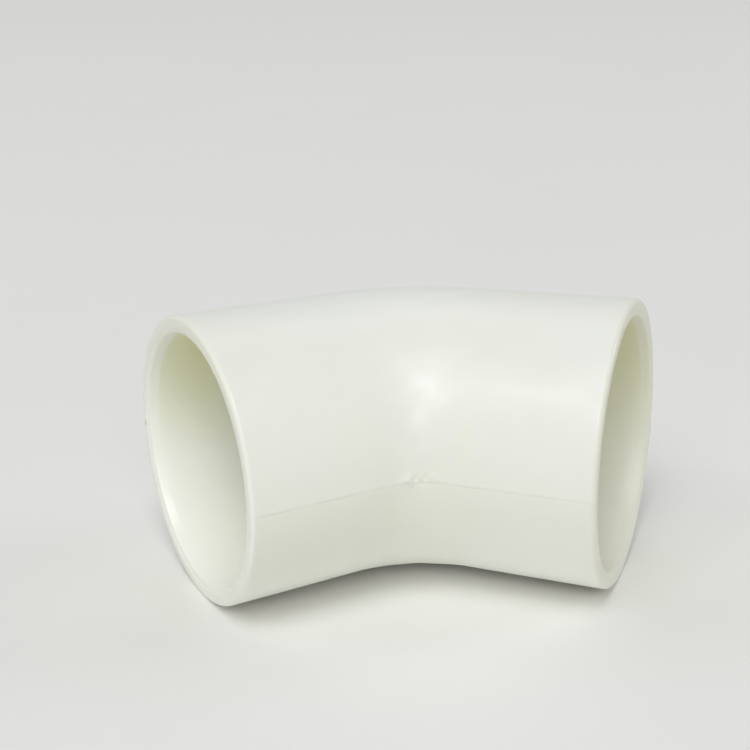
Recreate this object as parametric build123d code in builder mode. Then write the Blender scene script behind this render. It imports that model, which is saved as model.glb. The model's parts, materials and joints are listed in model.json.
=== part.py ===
"""A 45 degree pipe elbow with a plain socket at each end, moulded in one piece in white PVC.

Pipe is cemented into both sockets, so the elbow has no seal, no screw and no moving piece, and
the whole object is one body.  It lies flat: its two axes cross in a level plane, and the arms
open towards -Y, one to each side of the YZ plane.  +Z is up, and the origin is in the middle of
the underside of the elbow's box.  Lengths are in millimetres.
"""

import os
from math import cos, radians, sin, sqrt, tan

from build123d import *

# ---- Driving dimensions ----
bend_angle = 45.0  # degrees that the pipe line turns by
pipe_diameter = 60.3  # outside of the pipe that each socket takes
socket_clearance = 0.1  # between pipe and socket, on the radius
socket_wall = 4.5  # at the mouth
socket_depth = 38.1  # from the mouth to the pipe stop
laying_length = 17.4  # from the pipe stop to where the two axes cross
stop_ledge = 2.4  # how far the pipe stop stands in from the socket
stop_round = 0.5  # rounding of the pipe stop's inner edge
bend_centre_radius = 49.0  # of the centre line of the bend's outside
draft_inset = 0.95  # how much thinner the bend is than the mouth, on the radius

# The mouth: a flat end face, a shallow countersink inside it, then a steep lead-in
rim_land = 3.0  # length of the outside behind the end face that has no draft
rim_corner = 1.1  # rounding of the outer edge
face_width = 2.75  # of the end face, with its rounded edge
countersink_depth = 0.45
lead_in_depth = 2.7  # from the mouth to where the straight socket begins
lead_in_rise = 0.45  # how much wider than the socket the lead-in is where the countersink ends

# What the mould leaves: flash along its parting line, and the stub of the gate
flash_height = 0.3
flash_width = 0.5
gate_diameter = 3.0
gate_height = 0.5
gate_root = 1.5  # how far the gate reaches into the wall

# ---- Worked out from them ----
half_bend = radians(bend_angle / 2)
socket_radius = pipe_diameter / 2 + socket_clearance
waterway_radius = socket_radius - stop_ledge
mouth_radius = socket_radius + socket_wall
bend_radius = mouth_radius - draft_inset
reach = laying_length + socket_depth  # from the crossing to the end face
tangent_length = bend_centre_radius * tan(half_bend)  # from the crossing to the bend's end
corner_to_line = bend_centre_radius * (1 / cos(half_bend) - 1)  # crossing to centre line
waterway_end = laying_length - stop_round  # from the crossing to where the stop's edge rounds off
waterway_centre_radius = waterway_end / tan(half_bend)  # so that it meets both stops squarely

# The flash runs round the mouths' rounded edges, and stops level with the end faces.
corner_along = reach - rim_corner  # centre of the rounding, along the arm and out from its axis
corner_out = mouth_radius - rim_corner
flash_corner = rim_corner + flash_height
flash_end = corner_out + sqrt(flash_corner**2 - rim_corner**2)

# It reaches furthest along Y at the front of the mouths and at the back of the bend.
front_reach = corner_along * sin(half_bend) + corner_out * cos(half_bend) + flash_corner
back_reach = bend_radius + flash_height - corner_to_line

# ---- Places and planes ----
up = Vector(0, 0, 1)
crossing = Vector(0, (front_reach - back_reach) / 2, mouth_radius)
bend_centre = crossing - Vector(0, bend_centre_radius + corner_to_line, 0)
waterway_centre = crossing - Vector(0, waterway_centre_radius / cos(half_bend), 0)
arms = [Vector(side * cos(half_bend), -sin(half_bend), 0) for side in (-1, 1)]


def profile_plane(arm):
    """Upright plane through an arm's axis, with X along the arm."""
    return Plane(crossing, x_dir=arm, z_dir=arm.cross(up))


def section_plane(arm, distance):
    """Plane across an arm, that far from the crossing, with X level."""
    return Plane(crossing + arm * distance, x_dir=up.cross(arm), z_dir=arm)


def parting_plane(arm):
    """Level plane in which the mould parts, with X along the arm."""
    return Plane(crossing, x_dir=arm, z_dir=up)


with BuildPart() as elbow_body:
    # Outside of the bend, with its flash
    with BuildSketch(section_plane(arms[0], tangent_length)):
        Circle(bend_radius)
        Rectangle(2 * (bend_radius + flash_height), flash_width)
    revolve(axis=Axis(bend_centre, -up), revolution_arc=bend_angle)

    for arm in arms:
        # Outside of the arm, which widens towards its mouth by the mould's draft
        with BuildSketch(profile_plane(arm)) as arm_profile:
            with BuildLine():
                Polyline(
                    (tangent_length, 0),
                    (tangent_length, bend_radius),
                    (reach - rim_land, mouth_radius),
                    (reach, mouth_radius),
                    (reach, 0),
                    close=True,
                )
            make_face()
            outer_corner = arm_profile.vertices().group_by(Axis.X)[-1].sort_by(Axis.Y)[-1]
            fillet(outer_corner, rim_corner)
        revolve(axis=Axis(crossing, arm))

        # Flash along both sides of the arm and round the edge of its mouth
        with BuildSketch(parting_plane(arm)):
            with BuildLine():
                side = Polyline(
                    (tangent_length, 0),
                    (tangent_length, bend_radius + flash_height),
                    (reach - rim_land, mouth_radius + flash_height),
                    (corner_along, mouth_radius + flash_height),
                )
                edge = RadiusArc(side @ 1, (reach, flash_end), flash_corner)
                Line(edge @ 1, (reach, 0))
                mirror(about=Plane.XZ)
            make_face()
        extrude(amount=flash_width / 2, both=True)

    # Stub of the gate, at the middle of the inside of the bend
    gate_root_centre = bend_centre + Vector(0, bend_centre_radius - bend_radius + gate_root, 0)
    with BuildSketch(Plane(gate_root_centre, x_dir=(1, 0, 0), z_dir=(0, -1, 0))):
        Circle(gate_diameter / 2)
    extrude(amount=gate_root + gate_height)

    # Waterway from one pipe stop round to the other
    with BuildSketch(section_plane(arms[0], waterway_end)):
        Circle(waterway_radius)
    revolve(axis=Axis(waterway_centre, -up), revolution_arc=bend_angle, mode=Mode.SUBTRACT)

    for arm in arms:
        # Rounded edge of the pipe stop, and the socket from there to the end face
        with BuildSketch(profile_plane(arm)):
            with BuildLine():
                rounding = RadiusArc(
                    (waterway_end, waterway_radius),
                    (laying_length, waterway_radius + stop_round),
                    -stop_round,
                )
                Polyline(
                    rounding @ 1,
                    (laying_length, socket_radius),
                    (reach - lead_in_depth, socket_radius),
                    (reach - countersink_depth, socket_radius + lead_in_rise),
                    (reach, mouth_radius - face_width),
                    (reach, 0),
                    (waterway_end, 0),
                    rounding @ 0,
                )
            make_face()
        revolve(axis=Axis(crossing, arm), mode=Mode.SUBTRACT)

elbow_body.part.label = "elbow_body"

os.makedirs("parts", exist_ok=True)
export_step(elbow_body.part, "parts/elbow_body.step")

box = elbow_body.part.bounding_box()
print(f"elbow_body: {len(elbow_body.part.solids())} solid, valid {elbow_body.part.is_valid}")
print(f"box {box.min.X:.2f} {box.min.Y:.2f} {box.min.Z:.2f} to {box.max.X:.2f} {box.max.Y:.2f} {box.max.Z:.2f}")
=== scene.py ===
"""Finish of a 45 degree PVC pipe elbow, laid out as an add-on and run as a script.

The elbow is one moulding.  It is modelled here as one closed mesh: a ring that is spun round half
of the bend, drawn along an arm, turned in over the mouth and drawn back through the socket and
the waterway, and then mirrored.  Its mould marks are real shape.  Lengths are in metres.
"""

import json
import math

import bmesh
import bpy
from bpy.props import FloatProperty, FloatVectorProperty, IntProperty, PointerProperty
from mathutils import Matrix, Vector, geometry, noise


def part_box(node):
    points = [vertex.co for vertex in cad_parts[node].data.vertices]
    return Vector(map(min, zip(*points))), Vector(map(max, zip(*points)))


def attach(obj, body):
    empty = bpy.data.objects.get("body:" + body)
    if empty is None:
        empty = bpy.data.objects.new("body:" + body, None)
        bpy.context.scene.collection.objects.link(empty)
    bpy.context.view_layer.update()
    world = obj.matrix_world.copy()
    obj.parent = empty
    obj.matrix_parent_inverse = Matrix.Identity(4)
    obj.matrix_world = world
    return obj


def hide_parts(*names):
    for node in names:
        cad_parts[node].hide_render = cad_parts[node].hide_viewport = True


bl_info = {
    "name": "Pipe Elbow",
    "version": (1, 0, 0),
    "blender": (4, 5, 0),
    "location": "3D View > Sidebar > Pipe Elbow",
    "description": "A moulded PVC pipe elbow with its mould marks, on a plain stage",
    "category": "Add Mesh",
}

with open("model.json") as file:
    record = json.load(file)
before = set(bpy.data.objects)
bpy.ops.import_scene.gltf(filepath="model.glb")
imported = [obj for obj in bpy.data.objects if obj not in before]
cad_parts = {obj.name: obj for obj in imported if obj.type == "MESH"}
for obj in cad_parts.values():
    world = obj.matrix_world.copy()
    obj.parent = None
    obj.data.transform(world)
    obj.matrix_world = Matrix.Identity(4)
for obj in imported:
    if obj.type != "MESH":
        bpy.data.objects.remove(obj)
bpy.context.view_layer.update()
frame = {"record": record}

NODE = "elbow_body"
UP = Vector((0, 0, 1))
MM = 0.001
TINY = 1e-6  # points closer than this are merged
ON_PLANE = 1e-7  # a point closer than this to a cutting plane is on it
SHARP_ANGLE = math.radians(28)

# Numbers that the mesh keeps at its points for the material
BORE_DEPTH = "bore_depth"
NICK_SHADE = "nick_shade"
STREAK = "streak"
POLISH = "polish"


class ElbowFrame:
    """Where the elbow's axes, stops and mouths are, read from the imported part.

    stop and socket_start are where the straight socket ends and begins, as distances along an arm
    from the crossing of the two axes.
    """

    def __init__(self):
        socket = next(m for m in frame["record"]["mounts"] if m["name"] == "right_socket")
        middle = Vector(socket["pos_m"])
        self.arm = Vector(socket["axis"]).normalized()
        self.half_bend = math.acos(self.arm.x)
        middle_along = middle.x / self.arm.x
        self.crossing = middle - self.arm * middle_along
        self.socket_radius = socket["dims"]["r_mm"] * MM
        half_length = socket["dims"]["length_mm"] * MM / 2
        self.stop = middle_along - half_length
        self.socket_start = middle_along + half_length
        # The flash is level, so the mouths alone set the height of the box
        low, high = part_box(NODE)
        self.mouth_radius = (high.z - low.z) / 2

    def bend_centre(self, centre_radius):
        """Centre of a bend of that radius that both axes run into."""
        return self.crossing - Vector((0, centre_radius / math.cos(self.half_bend), 0))

    def tangent(self, centre_radius):
        """How far from the crossing such a bend ends."""
        return centre_radius * math.tan(self.half_bend)


elbow = ElbowFrame()


class ElbowSizes(bpy.types.PropertyGroup):
    """Sizes of the moulding that its sockets do not set."""

    bend_centre_radius: FloatProperty(
        name="Bend Radius", description="Radius of the outside bend's centre line",
        default=49 * MM, unit="LENGTH", precision=4,
    )
    draft_inset: FloatProperty(
        name="Draft", description="How much thinner the bend is than the mouth, on the radius",
        default=0.95 * MM, unit="LENGTH", precision=5,
    )
    stop_ledge: FloatProperty(
        name="Stop Ledge", description="How far the pipe stop stands in from the socket",
        default=2.4 * MM, unit="LENGTH", precision=5,
    )
    stop_round: FloatProperty(
        name="Stop Rounding", description="Rounding of the stop's edge, and of the corner it makes",
        default=0.5 * MM, unit="LENGTH", precision=5,
    )
    rim_land: FloatProperty(
        name="Rim Land", description="Length behind the end face that has no draft",
        default=3 * MM, unit="LENGTH", precision=5,
    )
    rim_corner: FloatProperty(
        name="Rim Corner", description="Rounding of the mouth's outer edge",
        default=1.1 * MM, unit="LENGTH", precision=5,
    )
    face_width: FloatProperty(
        name="Face Width", description="Width of the end face, with its rounded edge",
        default=2.75 * MM, unit="LENGTH", precision=5,
    )
    face_groove: FloatProperty(
        name="Face Groove", description="Depth of the groove where the core met the mould",
        default=0.12 * MM, unit="LENGTH", precision=5,
    )
    countersink_depth: FloatProperty(
        name="Countersink Depth", description="Depth of the countersink inside the end face",
        default=0.45 * MM, unit="LENGTH", precision=5,
    )
    lead_in_depth: FloatProperty(
        name="Lead-in Depth", description="Depth at which the straight socket begins",
        default=2.7 * MM, unit="LENGTH", precision=5,
    )
    lead_in_rise: FloatProperty(
        name="Lead-in Rise", description="How much wider the lead-in starts than the socket",
        default=0.45 * MM, unit="LENGTH", precision=5,
    )
    mould_draft: FloatProperty(
        name="Mould Draft", description="Tilt of the surface at the parting line, each side",
        default=math.radians(2.2), subtype="ANGLE",
    )
    parting_step: FloatProperty(
        name="Parting Step", description="Height of the lip and the groove along the parting line",
        default=0.06 * MM, unit="LENGTH", precision=5,
    )
    flash_height: FloatProperty(
        name="Flash Height", description="Highest stretch of flash on the back and the rims",
        default=0.2 * MM, unit="LENGTH", precision=5,
    )
    waviness: FloatProperty(
        name="Waviness", description="How far the cooled surface waves in and out",
        default=0.05 * MM, unit="LENGTH", precision=5,
    )
    bend_waviness: FloatProperty(
        name="Bend Waviness",
        description="How far the inside of the bend waves, where it cooled last",
        default=0.18 * MM, unit="LENGTH", precision=5,
    )
    segments: IntProperty(
        name="Segments", description="Sides of each ring", default=320, min=32, max=640,
    )


class ElbowColours(bpy.types.PropertyGroup):
    """Colours and gloss of the plastic, with painted light and shade on the mouths, bores and skin.
    """

    plastic: FloatVectorProperty(
        name="Plastic", description="Colour of clean plastic", subtype="COLOR",
        size=4, default=(0.872, 0.877, 0.795, 1), min=0, max=1,
    )
    cloud: FloatVectorProperty(
        name="Cloud", description="Colour of the faint clouds in the plastic", subtype="COLOR",
        size=4, default=(0.86, 0.87, 0.77, 1), min=0, max=1,
    )
    # Painted shade: the skin below the parting line is coloured darker, where less light falls
    lower_half: FloatVectorProperty(
        name="Lower Half", description="Colour of the skin below the parting line", subtype="COLOR",
        size=4, default=(0.855, 0.865, 0.752, 1), min=0, max=1,
    )
    # Painted light: the skin low down is coloured lighter, for the light the floor throws up onto
    # it
    underside: FloatVectorProperty(
        name="Underside", description="Colour of the least handled skin, low down", subtype="COLOR",
        size=4, default=(0.975, 0.98, 0.91, 1), min=0, max=1,
    )
    # Painted shade: the parting line's groove is coloured darker, for the shade that falls in it
    parting_groove_shade: FloatVectorProperty(
        name="Parting Dirt", description="Colour of the dust in the parting line", subtype="COLOR",
        size=4, default=(0.79, 0.80, 0.69, 1), min=0, max=1,
    )
    face: FloatVectorProperty(
        name="End Face", description="Colour of the mouths' end faces", subtype="COLOR",
        size=4, default=(0.925, 0.93, 0.84, 1), min=0, max=1,
    )
    # Painted light: the lead-ins are coloured lighter, for the light that falls on them
    lead_in: FloatVectorProperty(
        name="Lead-in", description="Colour of the lead-ins", subtype="COLOR",
        size=4, default=(0.955, 0.957, 0.89, 1), min=0, max=1,
    )
    # Painted light and shade: the bores are coloured lighter low down, and darker and yellower at
    # the top, where little light reaches
    inside: FloatVectorProperty(
        name="Inside", description="Colour of the lower side of the bores", subtype="COLOR",
        size=4, default=(0.963, 0.966, 0.915, 1), min=0, max=1,
    )
    inside_top: FloatVectorProperty(
        name="Inside Top", description="Colour of the upper side of the bores", subtype="COLOR",
        size=4, default=(0.84, 0.848, 0.53, 1), min=0, max=1,
    )
    # Painted shade: multiplies the colour of the right mouth and bore, and of the top of both
    # mouths
    right_shade: FloatVectorProperty(
        name="Right Shade",
        description="What dulls the right mouth and bore, and the top of both mouths",
        subtype="COLOR", size=4, default=(0.915, 0.905, 0.83, 1), min=0, max=1,
    )
    flow_mark: FloatVectorProperty(
        name="Flow Mark", description="Colour of the streaks beside the gate", subtype="COLOR",
        size=4, default=(0.85, 0.872, 0.69, 1), min=0, max=1,
    )
    speck: FloatVectorProperty(
        name="Speck", description="Colour of the dust in the plastic", subtype="COLOR",
        size=4, default=(0.62, 0.60, 0.50, 1), min=0, max=1,
    )
    # Painted shade: the rim's nick is coloured dark, for the shade that falls in it
    nick_shade: FloatVectorProperty(
        name="Grime", description="Colour of the dirt in the rim's nick", subtype="COLOR",
        size=4, default=(0.45, 0.50, 0.18, 1), min=0, max=1,
    )
    roughness: FloatProperty(
        name="Roughness", description="Roughness of the plastic", subtype="FACTOR",
        default=0.34, min=0, max=1,
    )


class StageSettings(bpy.types.PropertyGroup):
    """Floor, camera and lights."""

    floor: FloatVectorProperty(
        name="Floor", description="Colour of the floor", subtype="COLOR",
        size=4, default=(0.873, 0.866, 0.829, 1), min=0, max=1,
    )
    far_floor: FloatVectorProperty(
        name="Far Floor", description="Colour of the floor well behind the elbow", subtype="COLOR",
        size=4, default=(0.975, 0.968, 0.91, 1), min=0, max=1,
    )
    light: FloatVectorProperty(
        name="Light", description="Colour of all the light", subtype="COLOR",
        size=3, default=(0.957, 0.969, 1), min=0, max=1,
    )
    sky: FloatProperty(
        name="Sky", description="Strength of the even light from all round", default=0.285, min=0,
    )
    room: FloatProperty(
        name="Room", description="Brightness of the room that the camera and reflections see",
        default=0.78, min=0, max=1,
    )
    lamp_distance: FloatProperty(
        name="Lamp Distance", description="From the elbow to each lamp",
        default=3, min=1, unit="LENGTH",
    )
    lens: FloatProperty(
        name="Lens", description="Focal length of the camera", default=89.8, unit="CAMERA",
    )


def spin_ring(bm, ring, centre, angle, steps):
    """Spin a ring of edges about an upright axis, and return the last ring."""
    verts = list({v for e in ring for v in e.verts})
    spun = bmesh.ops.spin(
        bm, geom=verts + ring, cent=centre, axis=UP, angle=angle, steps=steps, use_duplicate=False
    )
    return [g for g in spun["geom_last"] if isinstance(g, bmesh.types.BMEdge)]


def draw_ring(bm, ring, start, end):
    """Extrude a ring from one (distance along the arm, radius) to the next, and return it."""
    grown = bmesh.ops.extrude_edge_only(bm, edges=ring)["geom"]
    verts = {g for g in grown if isinstance(g, bmesh.types.BMVert)}
    centre = elbow.crossing + elbow.arm * start[0]
    scale = end[1] / start[1]
    bmesh.ops.scale(bm, vec=(scale,) * 3, space=Matrix.Translation(-centre), verts=list(verts))
    bmesh.ops.translate(bm, vec=elbow.arm * (end[0] - start[0]), verts=list(verts))
    return [g for g in grown if isinstance(g, bmesh.types.BMEdge) and set(g.verts) <= verts]


def run(start, end, steps):
    """Evenly spaced points from start, left out, to end."""
    return [
        (start[0] + (end[0] - start[0]) * i / steps, start[1] + (end[1] - start[1]) * i / steps)
        for i in range(1, steps + 1)
    ]


def turn(centre, radius, start, end, steps):
    """Points round a corner, from one angle to the other, with the first left out."""
    angles = [math.radians(start + (end - start) * i / steps) for i in range(1, steps + 1)]
    return [(centre[0] + radius * math.cos(a), centre[1] + radius * math.sin(a)) for a in angles]


def arm_profile(sizes):
    """(distance along the arm, radius) down the outside, over the mouth and back to the stop."""
    reach = elbow.socket_start + sizes.lead_in_depth
    mouth, socket = elbow.mouth_radius, elbow.socket_radius
    corner, ledge, groove = sizes.rim_corner, sizes.stop_round, sizes.face_groove
    points = [(elbow.tangent(sizes.bend_centre_radius), mouth - sizes.draft_inset)]
    points += run(points[-1], (reach - sizes.rim_land, mouth), 40)
    points += run(points[-1], (reach - corner, mouth), 6)
    points += turn((reach - corner, mouth - corner), corner, 90, 0, 10)
    # End face, the groove inside it, and the countersink, whose far edge is eased by as much
    inside = mouth - sizes.face_width
    points += run(points[-1], (reach, inside + groove), 3)
    points += run(points[-1], (reach - groove, inside), 2)
    points += run(points[-1], (reach - groove / 2, inside - groove), 2)
    edge_along, edge_radius = reach - sizes.countersink_depth, socket + sizes.lead_in_rise
    points += run(points[-1], (edge_along + groove / 4, edge_radius + groove), 4)
    points.append((edge_along - groove, edge_radius))
    points += run(points[-1], (elbow.socket_start, socket), 4)
    # Socket and stop
    points += run(points[-1], (elbow.stop + ledge, socket), 12)
    points += turn((elbow.stop + ledge, socket - ledge), ledge, 90, 180, 4)
    inner = socket - sizes.stop_ledge
    points += run(points[-1], (elbow.stop, inner + ledge), 2)
    points += turn((elbow.stop - ledge, inner + ledge), ledge, 0, -90, 4)[:-1]
    points.append((elbow.stop - ledge, inner))
    return points


# Heights of the extra rows of points that the parting line and the rim's nub need, in millimetres
PARTING_ROWS = (-3.1, -2.7, -2.3, -1.9, -1.6, -1.2, -0.9, -0.55, -0.35, -0.14, 0.14, 0.4)
BEND_STEPS = 20  # round half of the outside bend
WATERWAY_STEPS = 14  # round half of the waterway's bend


def build_wall(bm, sizes):
    """The plain elbow: half of it as rings, then mirrored across the middle of the bend."""
    bend_radius = elbow.mouth_radius - sizes.draft_inset
    centre = elbow.bend_centre(sizes.bend_centre_radius)
    middle = centre + Vector((0, sizes.bend_centre_radius, 0))
    bmesh.ops.create_circle(
        bm, segments=sizes.segments, radius=bend_radius,
        matrix=Matrix.Translation(middle) @ Matrix.Rotation(math.pi / 2, 4, "Y"),
    )
    for height in PARTING_ROWS:
        bmesh.ops.bisect_plane(
            bm, geom=bm.verts[:] + bm.edges[:], dist=ON_PLANE,
            plane_co=middle + UP * height * MM, plane_no=UP,
        )
    ring = spin_ring(bm, bm.edges[:], centre, -elbow.half_bend, BEND_STEPS)
    points = arm_profile(sizes)
    for start, end in zip(points, points[1:]):
        ring = draw_ring(bm, ring, start, end)
    waterway_radius = (elbow.stop - sizes.stop_round) / math.tan(elbow.half_bend)
    spin_ring(bm, ring, elbow.bend_centre(waterway_radius), elbow.half_bend, WATERWAY_STEPS)
    bmesh.ops.mirror(bm, geom=bm.verts[:] + bm.edges[:] + bm.faces[:], merge_dist=TINY, axis="X")
    bmesh.ops.remove_doubles(bm, verts=bm.verts, dist=TINY)
    bmesh.ops.recalc_face_normals(bm, faces=bm.faces)


def place_on_elbow(point, centre_radius):
    """How a point lies on the elbow.

    Returns its distance along the centre line from the middle of the bend, its distance from the
    upright surface through that line, positive to the back, the level direction in which that
    distance grows, and its height over the parting plane.
    """
    side = math.copysign(1, point.x)
    offset = Vector((abs(point.x), point.y, point.z)) - elbow.bend_centre(centre_radius)
    angle = math.atan2(offset.x, offset.y)
    if angle < elbow.half_bend:
        along = centre_radius * angle
        out = math.hypot(offset.x, offset.y) - centre_radius
        back = Vector((side * math.sin(angle), math.cos(angle), 0))
    else:
        normal = Vector((-elbow.arm.y, elbow.arm.x, 0))
        along = centre_radius * elbow.half_bend + offset.dot(elbow.arm)
        out = offset.dot(normal) - centre_radius
        back = Vector((side * normal.x, normal.y, 0))
    return side * along, out, back, offset.z


def ramp(value, start, end):
    """0 up to start, 1 from end on, and even between them.  The end may be the lower of the two."""
    return min(1, max(0, (value - start) / (end - start)))


def dome(distance, width):
    """1 at no distance, falling smoothly to about 0 at twice the width."""
    return math.exp(-((distance / width) ** 2))


# Heights from here on are over the parting plane

# The lip above the parting line and the groove below it: height, width, and share of the step
LIP = (0.4 * MM, 0.35 * MM, 0.4)
GROOVE = (-0.35 * MM, 0.3 * MM, 0.6)

# The flash on the back: half its thickness, and the length of its ragged stretches
FLASH_WIDTH = 0.1 * MM
FLASH_STRETCH = 4 * MM

# The flash on the rims: the length of its ragged stretches, and the heights between which it fades
# in at its foot and from its top.  The left one also grows more ragged between two heights
RIM_STRETCH = 1.7 * MM
LEFT_FOOT, LEFT_TOP, LEFT_RAGGED = (-0.4 * MM, 0.4 * MM), (33 * MM, 24 * MM), (0, 8 * MM)
RIGHT_TOP, RIGHT_FOOT = (0, -2 * MM), (-16 * MM, -11 * MM)

# The nub that ends the flash on the left rim, and the nick below it: height, width and size
NUB_HEIGHT, NUB_WIDTH, NUB_RISE = -0.8 * MM, 0.55 * MM, 0.24 * MM
NICK_HEIGHT, NICK_WIDTH, NICK_DEPTH = -2.2 * MM, 0.6 * MM, 0.12 * MM
# How far both reach: along the arm in rim corners, and inwards from the rim's rounded edge
RIM_REACH_ALONG, RIM_REACH_IN = 1.2, 0.6 * MM

# Waves of the cooled skin: (length, share)
WAVES = ((13 * MM, 0.7), (5 * MM, 0.3))
WAVES_SUNK = 0.7  # how far the middle of the waves lies under the plain wall, in wavinesses
# Waves inside the bend: length, what draws them out along their first axis, and the place and width
# along the arm of the stretch that has them
RIDGE_LENGTH, RIDGE_STRETCH = 6 * MM, 0.4
RIDGES_ALONG, RIDGES_WIDTH = 5 * MM, 17 * MM

# Bumps and pits of the broken gate: (x, height, width, rise), in millimetres
GATE_SCAR = (
    (-2.1, 0.8, 0.9, 0.55), (-1.6, -0.5, 0.6, 0.3), (-0.5, 0.8, 0.55, -0.35), (0.6, 1.1, 0.6, 0.28),
    (1.7, 0.9, 0.6, -0.32), (2.8, 1.2, 0.8, 0.22), (0.7, -0.5, 0.6, -0.15), (4.0, 0.8, 1.0, 0.16),
    (-3.6, 0.2, 1.0, 0.15), (-0.8, 2.2, 0.9, 0.1),
)

# Two streaks of flow from the gate, which meet higher up: (x, height), in millimetres
STREAKS = (
    ((-1.5, 1.2), (1.6, 1.6), (4.3, 3.4), (6.4, 7.0), (9.3, 10.6), (11.9, 13.4)),
    ((1.6, 1.6), (4.3, 3.0), (7.4, 3.6), (10, 6.7), (11.3, 11.0)),
)
STREAK_WIDTH = 0.8 * MM
# Stains left of the gate: (x, height, width, strength), with lengths in millimetres
STAINS = ((-7, 5.5, 3.5, 0.5), (-4, -6, 5, 0.4))

# Glossier patches of the front, and duller ones where the polish is negative, with lengths in
# millimetres: (x, height, half width, half height, polish)
POLISHED = (
    (29, 20, 6, 5, 1.2), (22, 22, 5, 4, 0.3), (13, 21.5, 4.5, 4, 0.5), (2.3, 19, 5, 7, -0.6),
    (40, 20, 4.5, 9, -1.1),
)


def parting_rise(sizes, out, height, point):
    """How far the surface near the parting line stands out from the plain wall.

    The inside of the bend has a lip and a groove, and the back has ragged flash.
    """
    if out < 0:
        lip, groove = (
            share * dome(height - middle, width) for middle, width, share in (LIP, GROOVE)
        )
        return sizes.parting_step * (lip - groove)
    rough = 0.55 + 0.45 * noise.noise(point / FLASH_STRETCH)
    return sizes.flash_height * max(0, rough) * dome(height, FLASH_WIDTH)


def streak_strength(x, height):
    """How strong the flow streaks and the stains are at a place on the front, from 0 to 1."""
    place = Vector((x, height, 0))
    strength = 0
    for streak in STREAKS:
        corners = [Vector((*corner, 0)) * MM for corner in streak]
        for start, end in zip(corners, corners[1:]):
            nearest, share = geometry.intersect_point_line(place, start, end)
            if share < 0 or share > 1:
                nearest = start if share < 0 else end
            strength = max(strength, dome((place - nearest).length, STREAK_WIDTH))
    for stain_x, stain_height, width, most in STAINS:
        away = place - Vector((stain_x, stain_height, 0)) * MM
        strength = max(strength, most * dome(away.length, width * MM))
    return strength


def polish_strength(x, height):
    """How polished the skin is at a place on the front: positive is glossier, negative duller."""
    return sum(
        polish * dome(math.hypot((x - patch_x * MM) / width, (height - up * MM) / tall), MM)
        for patch_x, up, width, tall, polish in POLISHED
    )


def rim_sharpness(along, out, height, point):
    """How far the mouth's rounded edge is filled out by flash.  0 is not at all, 1 is square."""
    if out < 0:
        return 0
    ragged = noise.noise(point / RIM_STRETCH)
    if along < 0:
        flash = 0.4 + 0.5 * ragged * ramp(height, *LEFT_RAGGED)
        return ramp(height, *LEFT_FOOT) * ramp(height, *LEFT_TOP) * flash
    return max(0, 0.4 + 1.2 * ragged) * ramp(height, *RIGHT_TOP) * ramp(height, *RIGHT_FOOT)


def mark_rim(sizes, point, along, out, height, mouth_along):
    """How far flash fills the mouth's rounded edge out, along the arm and outwards."""
    corner = sizes.rim_corner
    radius = math.hypot(out, height)
    over_edge = abs(along) - (mouth_along - corner)
    over_side = radius - (elbow.mouth_radius - corner)
    if over_edge <= 0 or over_side <= 0:
        return 0, 0
    stretch = rim_sharpness(along, out, height, point) * (corner / max(over_edge, over_side) - 1)
    return stretch * over_edge, stretch * over_side


def skin_rise(sizes, point, along, out, height, by_gate):
    """How far the skin stands out from the plain wall: draft, waves, parting line and gate scar."""
    radius = math.hypot(out, height)
    steep = abs(height) / radius
    rise = -math.tan(sizes.mould_draft) * radius * steep * (1 - steep) ** 2
    waves = sum(share * noise.noise(point / length) for length, share in WAVES)
    rise -= sizes.waviness * (WAVES_SUNK + waves)
    if out < 0:
        ridges = Vector((point.x + point.z, point.y, point.z - point.x)) / RIDGE_LENGTH
        ridges.x *= RIDGE_STRETCH
        fade = dome(along - RIDGES_ALONG, RIDGES_WIDTH)
        rise += sizes.bend_waviness * noise.noise(ridges) * fade
    rise += parting_rise(sizes, out, height, point)
    if by_gate:
        for x, up, width, scar in GATE_SCAR:
            away = math.hypot(point.x - x * MM, height - up * MM)
            rise += scar * MM * dome(away, width * MM)
    return rise


def mark_wall(bm, sizes):
    """Give the outside its draft, waviness, parting line, flash and gate scar.

    Kept for the material: how far each point lies behind its mouth, as positive in the bore and
    negative on the outside, the painted shade in the nick, the streaks by the gate, and the polish.
    """
    depth, nick_shade, streak, polish = (
        bm.verts.layers.float.new(name) for name in (BORE_DEPTH, NICK_SHADE, STREAK, POLISH)
    )
    centre_radius = sizes.bend_centre_radius
    bend_radius = elbow.mouth_radius - sizes.draft_inset
    reach = elbow.socket_start + sizes.lead_in_depth
    mouth_along = centre_radius * elbow.half_bend + reach - elbow.tangent(centre_radius)
    rim_along = mouth_along - RIM_REACH_ALONG * sizes.rim_corner
    skin = elbow.mouth_radius - sizes.rim_corner
    bore = elbow.socket_radius + sizes.lead_in_rise
    for vert in bm.verts:
        point = vert.co.copy()
        along, out, back, height = place_on_elbow(point, centre_radius)
        radius = math.hypot(out, height)
        behind = mouth_along - abs(along)
        vert[depth] = behind if radius < bore + TINY else -behind
        arm = Vector((math.copysign(elbow.arm.x, along), elbow.arm.y, 0))
        on_rim = abs(along) > rim_along and radius > skin - RIM_REACH_IN
        if along < 0 < out and on_rim:
            # The nick's mask sets its dent and where its painted shade goes
            vert[nick_shade] = dome(height - NICK_HEIGHT, NICK_WIDTH)
            nub = NUB_RISE * dome(height - NUB_HEIGHT, NUB_WIDTH)
            vert.co += arm * (nub - NICK_DEPTH * vert[nick_shade])
        if radius < skin - TINY:
            continue
        by_gate = out < 0 and abs(point.x) < bend_radius / 2
        if out < 0:
            vert[polish] = polish_strength(point.x, height)
        if by_gate:
            vert[streak] = streak_strength(point.x, height)
        rise = skin_rise(sizes, point, along, out, height, by_gate)
        outward = (back * out + UP * height).normalized()
        edge_rise, side_rise = mark_rim(sizes, point, along, out, height, mouth_along)
        vert.co += outward * (rise + side_rise) + arm * edge_rise


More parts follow.
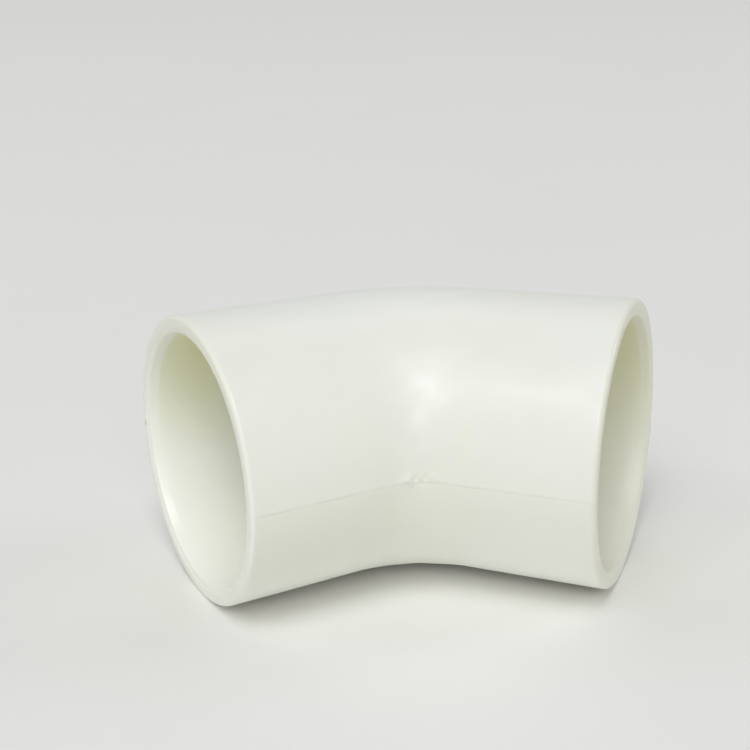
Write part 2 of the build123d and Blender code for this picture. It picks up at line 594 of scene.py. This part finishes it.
class Shading:
    """A new material, with short ways to add the nodes that its colour and gloss are made of."""

    def __init__(self, name):
        self.material = bpy.data.materials.new(name)
        self.material.use_nodes = True
        self.tree = self.material.node_tree
        self.shader = self.tree.nodes["Principled BSDF"]
        self.place = self.tree.nodes.new("ShaderNodeTexCoord").outputs["Object"]

    def put(self, socket, value):
        """Set a socket to a constant, or link the output of another node to it."""
        if isinstance(value, bpy.types.NodeSocket):
            self.tree.links.new(value, socket)
        else:
            socket.default_value = value

    def add(self, kind, values=None, **settings):
        """Add a node with these settings.  Its values are constants or outputs of other nodes."""
        node = self.tree.nodes.new("ShaderNode" + kind)
        for name, setting in settings.items():
            setattr(node, name, setting)
        for name, value in (values or {}).items():
            self.put(node.inputs[name], value)
        return node

    def surface(self, **values):
        """Set the shader's own values, with an underscore for each space in their names."""
        for name, value in values.items():
            self.put(self.shader.inputs[name.replace("_", " ")], value)

    def attribute(self, name):
        """A number that the mesh keeps at its points."""
        return self.add("Attribute", attribute_name=name).outputs["Fac"]

    def axes(self, vector):
        """X, Y and Z of a vector or a colour."""
        return self.add("SeparateXYZ", {"Vector": vector}).outputs

    def noise(self, scale, detail):
        """Noise with so many bumps to the metre."""
        values = {"Vector": self.place, "Scale": scale, "Detail": detail}
        return self.add("TexNoise", values).outputs["Fac"]

    def ramp(self, value, start, end):
        """0 up to start, 1 from end on, and even between them."""
        values = {"Value": value, "From Min": start, "From Max": end}
        return self.add("MapRange", values).outputs["Result"]

    def pattern(self, scale, detail, start, end):
        """Patches from 0 to 1: noise, ramped from start to end."""
        return self.ramp(self.noise(scale, detail), start, end)

    def math(self, operation, *numbers):
        """One operation on numbers and outputs."""
        return self.add("Math", dict(enumerate(numbers)), operation=operation).outputs["Value"]

    def product(self, first, *others):
        """All of them multiplied together."""
        for other in others:
            first = self.math("MULTIPLY", first, other)
        return first

    def without(self, mask, share):
        """1 where there is no mask, and less by that share where it is full."""
        return self.math("MULTIPLY_ADD", mask, -share, 1.0)

    def mix(self, factor, first, second, blend="MIX"):
        """From the first colour to the second."""
        values = {"Factor": factor, "A": first, "B": second}
        return self.add("Mix", values, data_type="RGBA", blend_type=blend).outputs["Result"]

    def mix_number(self, factor, first, second):
        """From the first number to the second."""
        values = {"Factor": factor, "A": first, "B": second}
        return self.add("Mix", values, data_type="FLOAT").outputs["Result"]


class ElbowMasks:
    """Masks by where a point of the elbow lies, from 0 at start to 1 at end, in millimetres."""

    def __init__(self, shading):
        self.shading = shading
        place = shading.axes(shading.place)
        self.x, self.z = place["X"], place["Z"]
        self.behind = shading.attribute(BORE_DEPTH)

    def across(self, start, end):
        """By how far it is to the right of the middle of the bend."""
        return self.shading.ramp(self.x, start * MM, end * MM)

    def height(self, start, end):
        """By height over the parting plane."""
        parting = elbow.crossing.z
        return self.shading.ramp(self.z, parting + start * MM, parting + end * MM)

    def depth(self, start, end):
        """By depth behind the end face, which is negative on the outside."""
        return self.shading.ramp(self.behind, start * MM, end * MM)


# Patterns in the plastic: scale, detail, and the noise that they start and end at
CLOUDS = (38, 3, 0.35, 0.7)
# The patches in which the parting groove's painted shade lies
PARTING_SHADE_PATCHES = (160, 2, 0.27, 0.67)
STREAK_FLECKS = (330, 3, 0.32, 0.8)
GLOSS_PATCHES = (110, 4, 0.42, 0.6)
POLISH_PATCHES = (150, 3, 0.2, 0.65)

# Specks: cells to the metre, the edge of the dot in a cell, and the share of the cells with one
SPECK_SCALE = 70.0
SPECK_EDGE, SPECK_CHANCE = (0.022, 0.012), (0.7, 0.9)

# How much rougher than the plain plastic the kinds of skin are, and how much full polish takes off
FINE_SKIN, COARSE_SKIN, LOWER_SKIN, STREAKED_SKIN = -0.05, 0.1, 0.08, 0.15
POLISH_GLOSS = 0.16

# The skin's fine unevenness: scale and detail of both grains, how much stronger the coarse one is,
# and the strength and height of the bump
FINE_GRAIN, COARSE_GRAIN, COARSE_SHARE = (1400, 2), (260, 3), 3.0
GRAIN_STRENGTH, GRAIN_HEIGHT = 0.35, 0.008 * MM

IOR = 1.53
FACE_DEPTH = (-1.1, -0.5)  # over which the outside's colour becomes the end face's, in millimetres


def lower_half(shading, masks, outside):
    """Painted shade and rougher skin below the parting line, fading out low down and to the right.
    """
    return shading.product(
        masks.height(0.05, -0.1), masks.height(-30, -8), outside, masks.across(18, -6)
    )


def skin_tone(shading, masks, colours, outside, lower):
    """Colour of the outside: faint clouds, painted light low down, painted shade below and in the
    parting line.
    """
    tone = shading.mix(shading.pattern(*CLOUDS), colours.plastic, colours.cloud)
    # Painted light: lighter low down
    tone = shading.mix(masks.height(-6, -24), tone, colours.underside)
    # Painted shade below the parting line
    tone = shading.mix(lower, tone, colours.lower_half)
    # Painted shade in the parting line's groove, in patches
    groove_shade = shading.product(
        masks.height(-0.65, -0.4), masks.height(0, -0.25), shading.pattern(*PARTING_SHADE_PATCHES), outside
    )
    return shading.mix(groove_shade, tone, colours.parting_groove_shade)


def mouth_tone(shading, masks, colours, tone, bore_start):
    """Add the end faces, then lead-ins and bores with painted light, and painted shade, yellower,
    at the top and inside.
    """
    face = masks.depth(*FACE_DEPTH)
    tone = shading.mix(face, tone, colours.face)
    right = masks.across(10, 40)
    # Painted light on the lead-ins, hardly any on the right
    lead_in = shading.product(masks.depth(0.2, 0.4), shading.without(right, 0.9))
    tone = shading.mix(lead_in, tone, colours.lead_in)
    # Painted light low in the bores, painted shade at the top and further in
    upper = shading.product(masks.height(-12, 20), masks.depth(-10, 12))
    bore = shading.mix(upper, colours.inside, colours.inside_top)
    tone = shading.mix(masks.depth(bore_start - 0.1, bore_start + 0.1), tone, bore)

    # Painted shade: the right mouth and bore are darker, less so low down, and so is the top of
    # both mouths
    right_side = shading.product(right, shading.without(masks.height(5, -25), 0.5))
    top = shading.product(masks.height(0, 25), 0.6)
    shade = shading.product(shading.math("MAXIMUM", right_side, top), face)
    return shading.mix(shade, tone, colours.right_shade, "MULTIPLY")


def marked_tone(shading, colours, tone, streaks):
    """Add the yellower streaks of flow, the specks, and the painted shade in the rim's nick."""
    tone = shading.mix(streaks, tone, colours.flow_mark)
    cells = shading.add("TexVoronoi", {"Vector": shading.place, "Scale": SPECK_SCALE}).outputs
    specks = shading.product(
        shading.ramp(cells["Distance"], *SPECK_EDGE),
        shading.ramp(shading.axes(cells["Color"])["X"], *SPECK_CHANCE),
    )
    tone = shading.mix(specks, tone, colours.speck)
    # Painted shade in the rim's nick
    return shading.mix(shading.ramp(shading.attribute(NICK_SHADE), 0.2, 0.8), tone, colours.nick_shade)


def skin_roughness(shading, colours, lower, streaks):
    """Patches of finer and coarser skin, duller below and in the streaks, and its polish.

    Polish makes nothing finer than the finest patch.
    """
    plain = colours.roughness
    finest = plain + FINE_SKIN
    rough = shading.mix_number(shading.pattern(*GLOSS_PATCHES), finest, plain + COARSE_SKIN)
    rough = shading.mix_number(lower, rough, plain + LOWER_SKIN)
    rough = shading.mix_number(streaks, rough, plain + STREAKED_SKIN)
    polish = shading.product(shading.attribute(POLISH), shading.pattern(*POLISH_PATCHES))
    rough = shading.math("MULTIPLY_ADD", polish, -POLISH_GLOSS, rough)
    return shading.math("MAXIMUM", rough, finest)


def skin_grain(shading):
    """The skin's fine unevenness."""
    coarse = shading.product(shading.noise(*COARSE_GRAIN), COARSE_SHARE)
    grain = shading.math("ADD", shading.noise(*FINE_GRAIN), coarse)
    values = {"Height": grain, "Strength": GRAIN_STRENGTH, "Distance": GRAIN_HEIGHT}
    return shading.add("Bump", values).outputs["Normal"]


def white_pvc(colours, lead_in_depth):
    """Moulded white PVC, with its bores, mouths and marks."""
    shading = Shading("white_pvc")
    masks = ElbowMasks(shading)
    outside = masks.depth(*reversed(FACE_DEPTH))
    lower = lower_half(shading, masks, outside)
    streaks = shading.product(shading.attribute(STREAK), shading.pattern(*STREAK_FLECKS))
    tone = skin_tone(shading, masks, colours, outside, lower)
    tone = mouth_tone(shading, masks, colours, tone, lead_in_depth / MM)
    shading.surface(
        Base_Color=marked_tone(shading, colours, tone, streaks),
        Roughness=skin_roughness(shading, colours, lower, streaks),
        IOR=IOR,
        Normal=skin_grain(shading),
    )
    return shading.material


def finish_piece(bm, name, material):
    """Make the mesh an object that rides on the elbow's body and replaces its node."""
    mesh = bpy.data.meshes.new(name)
    bm.to_mesh(mesh)
    bm.free()
    mesh.materials.append(material)
    piece = bpy.data.objects.new(name, mesh)
    bpy.context.scene.collection.objects.link(piece)
    for polygon in mesh.polygons:
        polygon.use_smooth = True
    mesh.set_sharp_from_angle(angle=SHARP_ANGLE)
    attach(piece, "root")
    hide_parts(NODE)
    return piece


class ELBOW_OT_moulding(bpy.types.Operator):
    """Mould the elbow: wall, mouths, sockets, stops and waterway, with what the mould leaves"""

    bl_idname = "elbow.moulding"
    bl_label = "Moulding"

    def execute(self, context):
        sizes = context.scene.elbow_sizes
        bm = bmesh.new()
        build_wall(bm, sizes)
        mark_wall(bm, sizes)
        material = white_pvc(context.scene.elbow_colours, sizes.lead_in_depth)
        finish_piece(bm, "elbow_moulding", material)
        return {"FINISHED"}


# The floor: half its width and the distances behind the elbow over which its colour changes, in
# metres, then the scale and detail of its unevenness and how far that shifts the change
FLOOR_REACH = 6
FLOOR_CHANGE = (-0.15, 0.75)
FLOOR_PATCHES, FLOOR_SHIFT = (9, 4), 0.25


def stage_floor(settings):
    """A wide level floor under the elbow."""
    bm = bmesh.new()
    bmesh.ops.create_grid(bm, x_segments=1, y_segments=1, size=FLOOR_REACH)
    mesh = bpy.data.meshes.new("floor")
    bm.to_mesh(mesh)
    bm.free()
    floor = bpy.data.objects.new("floor", mesh)
    bpy.context.scene.collection.objects.link(floor)
    shading = Shading("floor_paper")
    uneven = shading.product(shading.noise(*FLOOR_PATCHES), FLOOR_SHIFT)
    distance = shading.ramp(shading.axes(shading.place)["Y"], *FLOOR_CHANGE)
    far = shading.math("ADD", distance, uneven)
    tone = shading.mix(far, settings.floor, settings.far_floor)
    shading.surface(Base_Color=tone, Roughness=0.9, Specular_IOR_Level=0.1)
    mesh.materials.append(shading.material)


# Lamps: name, azimuth and elevation in degrees, width in metres, and how bright white is under
# that one alone
LAMPS = (
    ("overhead", -10, 62, 1.2, 0.240),
    ("front", 2, 30, 1.2, 0.120),
    ("soft_key", -18, 46, 1.4, 0.205),
    ("key", -45, 52, 0.45, 0.036),
    ("left", -95, 25, 1.2, 0.080),
    ("right", 95, 25, 1.2, 0.115),
    ("back", 180, 55, 2.0, 0.070),
)


def towards(azimuth, elevation):
    """Direction from the elbow to a place round it.  Azimuth 0 is in front, along -Y."""
    level = math.cos(elevation)
    return Vector((math.sin(azimuth) * level, -math.cos(azimuth) * level, math.sin(elevation)))


def stage_lights(settings):
    """Even light from all round, and large soft lamps."""
    world = bpy.data.worlds.new("studio")
    bpy.context.scene.world = world
    world.use_nodes = True
    background = world.node_tree.nodes["Background"]
    background.inputs["Color"].default_value = (*settings.light, 1)
    # The camera and reflections see a pale room, which is brighter than the light it gives
    nodes, links = world.node_tree.nodes, world.node_tree.links
    rays = nodes.new("ShaderNodeLightPath")
    seen = nodes.new("ShaderNodeMath")
    seen.operation = "MAXIMUM"
    links.new(rays.outputs["Is Camera Ray"], seen.inputs[0])
    links.new(rays.outputs["Is Glossy Ray"], seen.inputs[1])
    strength = nodes.new("ShaderNodeMapRange")
    strength.inputs["To Min"].default_value = settings.sky
    strength.inputs["To Max"].default_value = settings.room
    links.new(seen.outputs["Value"], strength.inputs["Value"])
    links.new(strength.outputs["Result"], background.inputs["Strength"])
    for name, azimuth, elevation, size, level in LAMPS:
        lamp = bpy.data.lights.new(name, "AREA")
        lamp.shape = "DISK"
        lamp.size = size
        lamp.color = settings.light
        lamp.energy = level * (math.pi * settings.lamp_distance) ** 2
        piece = bpy.data.objects.new(name, lamp)
        direction = towards(math.radians(azimuth), math.radians(elevation))
        piece.location = elbow.crossing + direction * settings.lamp_distance
        piece.rotation_mode = "QUATERNION"
        piece.rotation_quaternion = direction.to_track_quat("Z", "Y")
        bpy.context.scene.collection.objects.link(piece)


# The camera's place and tilt in degrees.  Its distance, and how far to the left of the crossing and
# above it the camera aims, are in radii of the mouth
CAMERA_AZIMUTH, CAMERA_ELEVATION, CAMERA_ROLL = -3.75, 21.12, -0.84
CAMERA_DISTANCE, AIM_LEFT, AIM_ABOVE = 13.28, 0.2048, 0.3102
SENSOR_WIDTH = 36  # in millimetres, as the lens is
CAMERA_RANGE = (0.01, 20)  # nearest and furthest that it sees, in metres


def stage_camera(settings):
    """Camera in front of the elbow and above it, a little to the left."""
    unit = elbow.mouth_radius
    roll = math.radians(CAMERA_ROLL)
    back = towards(math.radians(CAMERA_AZIMUTH), math.radians(CAMERA_ELEVATION))
    right = UP.cross(back).normalized()
    above = back.cross(right)
    right, above = (
        math.cos(roll) * right + math.sin(roll) * above,
        math.cos(roll) * above - math.sin(roll) * right,
    )
    aim = elbow.crossing - right * AIM_LEFT * unit + above * AIM_ABOVE * unit
    data = bpy.data.cameras.new("camera")
    data.lens = settings.lens
    data.sensor_width = SENSOR_WIDTH
    data.clip_start, data.clip_end = CAMERA_RANGE
    camera = bpy.data.objects.new("camera", data)
    camera.rotation_mode = "QUATERNION"
    camera.location = aim + back * (CAMERA_DISTANCE * unit)
    camera.rotation_quaternion = Matrix((right, above, back)).transposed().to_quaternion()
    bpy.context.scene.collection.objects.link(camera)
    bpy.context.scene.camera = camera


class ELBOW_OT_stage(bpy.types.Operator):
    """Set the floor, the soft light and the camera"""

    bl_idname = "elbow.stage"
    bl_label = "Stage"

    def execute(self, context):
        settings = context.scene.elbow_stage
        context.scene.view_settings.view_transform = "Standard"
        stage_floor(settings)
        stage_lights(settings)
        stage_camera(settings)
        return {"FINISHED"}


class ELBOW_PT_panel(bpy.types.Panel):
    """The elbow's operators and settings"""

    bl_idname = "ELBOW_PT_panel"
    bl_label = "Pipe Elbow"
    bl_space_type = "VIEW_3D"
    bl_region_type = "UI"
    bl_category = "Pipe Elbow"

    def draw(self, context):
        layout, scene = self.layout, context.scene
        for operator in OPERATORS:
            layout.operator(operator.bl_idname)
        for group in (scene.elbow_sizes, scene.elbow_colours, scene.elbow_stage):
            box = layout.box()
            for name in group.__annotations__:
                box.prop(group, name)


OPERATORS = (ELBOW_OT_moulding, ELBOW_OT_stage)
CLASSES = (ElbowSizes, ElbowColours, StageSettings, *OPERATORS, ELBOW_PT_panel)


def register():
    for cls in CLASSES:
        bpy.utils.register_class(cls)
    bpy.types.Scene.elbow_sizes = PointerProperty(type=ElbowSizes)
    bpy.types.Scene.elbow_colours = PointerProperty(type=ElbowColours)
    bpy.types.Scene.elbow_stage = PointerProperty(type=StageSettings)


def unregister():
    del bpy.types.Scene.elbow_stage
    del bpy.types.Scene.elbow_colours
    del bpy.types.Scene.elbow_sizes
    for cls in reversed(CLASSES):
        bpy.utils.unregister_class(cls)


def main():
    """Build the elbow and its stage."""
    register()
    bpy.ops.elbow.moulding()
    bpy.ops.elbow.stage()


if __name__ == "__main__":
    main()
